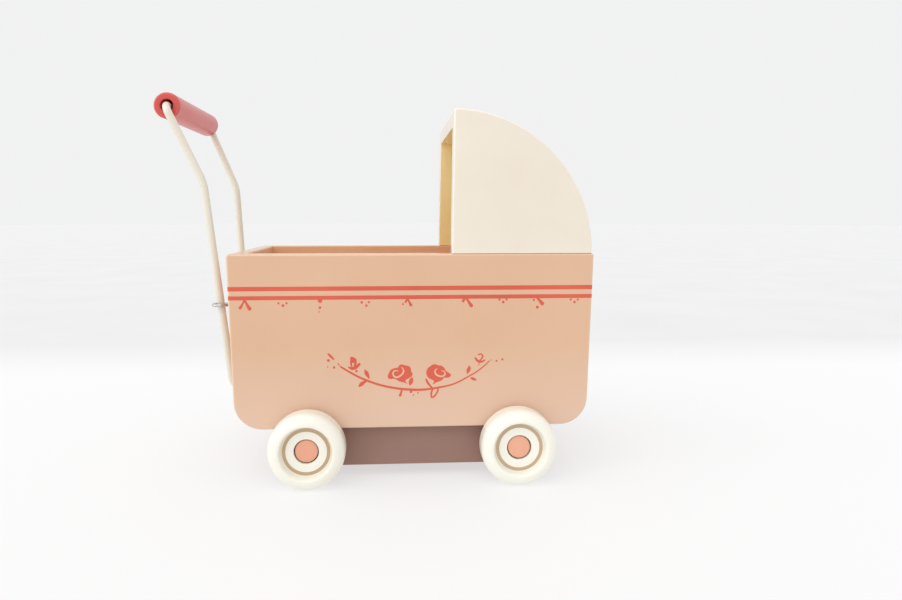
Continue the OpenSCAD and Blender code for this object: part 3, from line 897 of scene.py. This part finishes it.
class Relief:
    """Thin raised print on a side board, made of small closed solids."""

    def __init__(self):
        self.verts, self.faces = [], []

    def prism(self, poly, height):
        area = sum(poly[i - 1][0] * poly[i][1] - poly[i][0] * poly[i - 1][1] for i in range(len(poly)))
        if area < 0:
            poly = list(reversed(poly))
        b = len(self.verts)
        n = len(poly)
        self.verts += [(x, -YO - height, z) for x, z in poly] + [(x, -YO + 0.1, z) for x, z in poly]
        self.faces.append(tuple(b + k for k in range(n)))
        self.faces.append(tuple(b + n + k for k in reversed(range(n))))
        for k in range(n):
            self.faces.append((b + k, b + n + k, b + n + (k + 1) % n, b + (k + 1) % n))

    def stroke(self, pts, widths, height, sub=6):
        line = smooth_line(pts, widths, sub)
        n = len(line)
        left, right = [], []
        for i, (x, z, w) in enumerate(line):
            a = line[max(i - 1, 0)]
            c = line[min(i + 1, n - 1)]
            d = Vector((c[0] - a[0], c[1] - a[1])).normalized()
            left.append((x - d[1] * w / 2, z + d[0] * w / 2))
            right.append((x + d[1] * w / 2, z - d[0] * w / 2))
        d0 = Vector((line[1][0] - line[0][0], line[1][1] - line[0][1])).normalized()
        d1 = Vector((line[-1][0] - line[-2][0], line[-1][1] - line[-2][1])).normalized()

        def cap(p, d, w):
            ang = math.atan2(d[1], d[0])
            return [(p[0] + w / 2 * math.cos(ang + t), p[1] + w / 2 * math.sin(ang + t)) for t in [math.radians(g) for g in (-60, -30, 0, 30, 60)]]
        end = cap(line[-1], d1, line[-1][2])
        start = cap(line[0], -d0, line[0][2])
        # as strips, so that a curled stroke stays clean
        b = len(self.verts)
        for (lx, lz), (rx, rz) in zip(left, right):
            self.verts += [(lx, -YO - height, lz), (rx, -YO - height, rz), (lx, -YO + 0.1, lz), (rx, -YO + 0.1, rz)]
        for i in range(n - 1):
            p, q = b + 4 * i, b + 4 * (i + 1)
            self.faces += [(p, q, q + 1, p + 1), (p + 2, p + 3, q + 3, q + 2), (p, p + 2, q + 2, q), (p + 1, q + 1, q + 3, p + 3)]
        for first, tip, flip in ((b, start, True), (b + 4 * (n - 1), end, False)):
            c = len(self.verts)
            m = len(tip)
            self.verts += [(x, -YO - height, z) for x, z in tip] + [(x, -YO + 0.1, z) for x, z in tip]
            l0, r0, l1, r1 = first, first + 1, first + 2, first + 3
            if flip:
                ringt = [l0] + [c + k for k in range(m)] + [r0]
                ringb = [l1] + [c + m + k for k in range(m)] + [r1]
            else:
                ringt = [r0] + [c + k for k in range(m)] + [l0]
                ringb = [r1] + [c + m + k for k in range(m)] + [l1]
            self.faces.append(tuple(ringt))
            self.faces.append(tuple(reversed(ringb)))
            for k in range(len(ringt) - 1):
                self.faces.append((ringt[k], ringb[k], ringb[k + 1], ringt[k + 1]))

    def dot(self, x, z, r, height, seed):
        n = 14
        self.prism([(x + r * (1 + 0.07 * math.sin(3 * a + seed)) * math.cos(a), z + r * (1 + 0.06 * math.cos(2 * a + seed)) * math.sin(a))
                    for a in [2 * math.pi * k / n for k in range(n)]], height)

    def make(self, name, side_sign, mat):
        v = self.verts if side_sign < 0 else [(-x, -y, z) for x, y, z in self.verts]
        finish_mesh(name, v, self.faces, [mat], edge=[0.0] * len(v), flat=True)


def closed_smooth(poly, sub=4):
    n = len(poly)
    out = []
    for i in range(n):
        p0, p1, p2, p3 = poly[i - 1], poly[i], poly[(i + 1) % n], poly[(i + 2) % n]
        for k in range(sub):
            t = k / sub
            out.append(tuple(0.5 * (2 * b + (c - a) * t + (2 * a - 5 * b + 4 * c - d) * t * t + (3 * b - a - 3 * c + d) * t ** 3)
                             for a, b, c, d in zip(p0, p1, p2, p3)))
    return out


def flowers():
    for name, s in (("right", -1), ("left", 1)):
        red = Relief()
        for i, (pts, widths) in enumerate(STROKES):
            red.stroke(pts, widths, 0.030 + 0.0013 * i)
        for i, (x, z, r) in enumerate(DOTS):
            red.dot(x, z, r, 0.032 + 0.0007 * i, i * 1.7)
        for i, poly in enumerate(ROSES):
            red.prism(closed_smooth(poly), 0.034 + 0.001 * i)
        red.make("flowers_%s" % name, s, "print")
        gap = Relief()
        for pts, widths in SWIRLS:
            gap.stroke(pts, widths, 0.055)
        gap.make("flower_swirls_%s" % name, s, "peach")


stripes()
flowers()


# ---------------------------------------------------------------- floor, light, camera
def stage_material():
    s = Shader("studio_floor")
    sep = s.nt.nodes.new("ShaderNodeSeparateXYZ")
    s.link(s.coord, sep.inputs[0])
    back = s.ramp(sep.outputs[1], 0.17, 0.29)
    col = s.mix(back, (0.31, 0.31, 0.312, 1), (0.198, 0.198, 0.200, 1))
    mott = s.ramp(s.noise(9, 2, 0.5), 0.3, 0.7)
    s.link(s.mix(s.times(mott, 0.25), col, (0.30, 0.30, 0.302, 1)), s.bsdf.inputs["Base Color"])
    # a table lit a little from below, as white product tables are, which keeps the shadows light
    s.bsdf.inputs["Emission Color"].default_value = (1.0, 1.0, 1.0, 1)
    s.bsdf.inputs["Emission Strength"].default_value = 0.60
    s.bsdf.inputs["Roughness"].default_value = 0.75
    s.bsdf.inputs["Specular IOR Level"].default_value = 0.25
    return s.mat


def stage():
    me = bpy.data.meshes.new("studio_floor")
    bm = bmesh.new()
    rings = [0.25, 0.6, 1.5, 4.0, 9.0]
    n = 64
    centre = bm.verts.new((0, 0, 0))
    prev = None
    for r in rings:
        cur = [bm.verts.new((r * math.cos(2 * math.pi * k / n), r * math.sin(2 * math.pi * k / n), 0)) for k in range(n)]
        for k in range(n):
            if prev is None:
                bm.faces.new((centre, cur[k], cur[(k + 1) % n]))
            else:
                bm.faces.new((prev[k], cur[k], cur[(k + 1) % n], prev[(k + 1) % n]))
        prev = cur
    bm.to_mesh(me)
    bm.free()
    me.materials.append(stage_material())
    o = bpy.data.objects.new("studio_floor", me)
    o.location = (0, 0, -0.00005)
    bpy.context.scene.collection.objects.link(o)


def sun(name, towards, strength, angle, color=(1, 1, 1)):
    """Very wide, soft light from a direction, so that the floor stays evenly lit."""
    d = bpy.data.lights.new(name, "SUN")
    d.energy = strength
    d.angle = math.radians(angle)
    d.color = color
    o = bpy.data.objects.new(name, d)
    o.rotation_mode = "QUATERNION"
    o.rotation_quaternion = Vector(towards).to_track_quat("Z", "Y")
    bpy.context.scene.collection.objects.link(o)
    return o


def world():
    w = bpy.data.worlds.new("studio")
    bpy.context.scene.world = w
    w.use_nodes = True
    nt = w.node_tree
    nt.nodes.clear()
    out = nt.nodes.new("ShaderNodeOutputWorld")
    light = nt.nodes.new("ShaderNodeBackground")
    light.inputs[0].default_value = (1.0, 1.0, 1.0, 1)
    # brighter overhead than near the horizon
    sep = nt.nodes.new("ShaderNodeSeparateXYZ")
    nt.links.new(nt.nodes.new("ShaderNodeTexCoord").outputs["Generated"], sep.inputs[0])
    up = nt.nodes.new("ShaderNodeMath")
    up.operation = "POWER"
    clamp = nt.nodes.new("ShaderNodeMath")
    clamp.operation = "MAXIMUM"
    clamp.inputs[1].default_value = 0.0
    nt.links.new(sep.outputs[2], clamp.inputs[0])
    nt.links.new(clamp.outputs[0], up.inputs[0])
    up.inputs[1].default_value = 2.0
    grade = nt.nodes.new("ShaderNodeMapRange")
    grade.inputs["To Min"].default_value = 0.80
    grade.inputs["To Max"].default_value = 1.05
    nt.links.new(up.outputs[0], grade.inputs["Value"])
    nt.links.new(grade.outputs[0], light.inputs[1])
    seen = nt.nodes.new("ShaderNodeBackground")
    seen.inputs[0].default_value = (0.883, 0.884, 0.886, 1)
    seen.inputs[1].default_value = 1.0
    shine = nt.nodes.new("ShaderNodeBackground")
    shine.inputs[0].default_value = (1.0, 1.0, 1.0, 1)
    shine.inputs[1].default_value = 0.86
    path = nt.nodes.new("ShaderNodeLightPath")
    gloss = nt.nodes.new("ShaderNodeMixShader")
    nt.links.new(path.outputs["Is Glossy Ray"], gloss.inputs[0])
    nt.links.new(light.outputs[0], gloss.inputs[1])
    nt.links.new(shine.outputs[0], gloss.inputs[2])
    mix = nt.nodes.new("ShaderNodeMixShader")
    nt.links.new(path.outputs["Is Camera Ray"], mix.inputs[0])
    nt.links.new(gloss.outputs[0], mix.inputs[1])
    nt.links.new(seen.outputs[0], mix.inputs[2])
    nt.links.new(mix.outputs[0], out.inputs[0])


def camera():
    yaw, pitch, roll = math.radians(3.652), math.radians(3.702), math.radians(0.026)
    fwd = Vector((math.sin(yaw) * math.cos(pitch), math.cos(yaw) * math.cos(pitch), -math.sin(pitch)))
    right = Vector((math.cos(yaw), -math.sin(yaw), 0))
    up = right.cross(fwd)
    r = right * math.cos(roll) + up * math.sin(roll)
    u = up * math.cos(roll) - right * math.sin(roll)
    d = bpy.data.cameras.new("camera")
    d.sensor_width = 36
    d.sensor_fit = "HORIZONTAL"
    d.lens = 700 / 902 * 36
    d.shift_x, d.shift_y = 16 / 902, -40 / 902
    d.clip_start, d.clip_end = 0.01, 50
    o = bpy.data.objects.new("camera", d)
    o.matrix_world = Matrix(((r[0], u[0], -fwd[0], (XO - 9.494) * MM), (r[1], u[1], -fwd[1], -0.34005), (r[2], u[2], -fwd[2], 0.114594), (0, 0, 0, 1)))
    bpy.context.scene.collection.objects.link(o)
    bpy.context.scene.camera = o


stage()
world()
sun("key", (-0.32, -0.62, 1.0), 0.60, 60)
sun("side", (-1.0, -0.30, 0.35), 0.74, 60)
camera()
bpy.context.scene.view_settings.view_transform = "Standard"
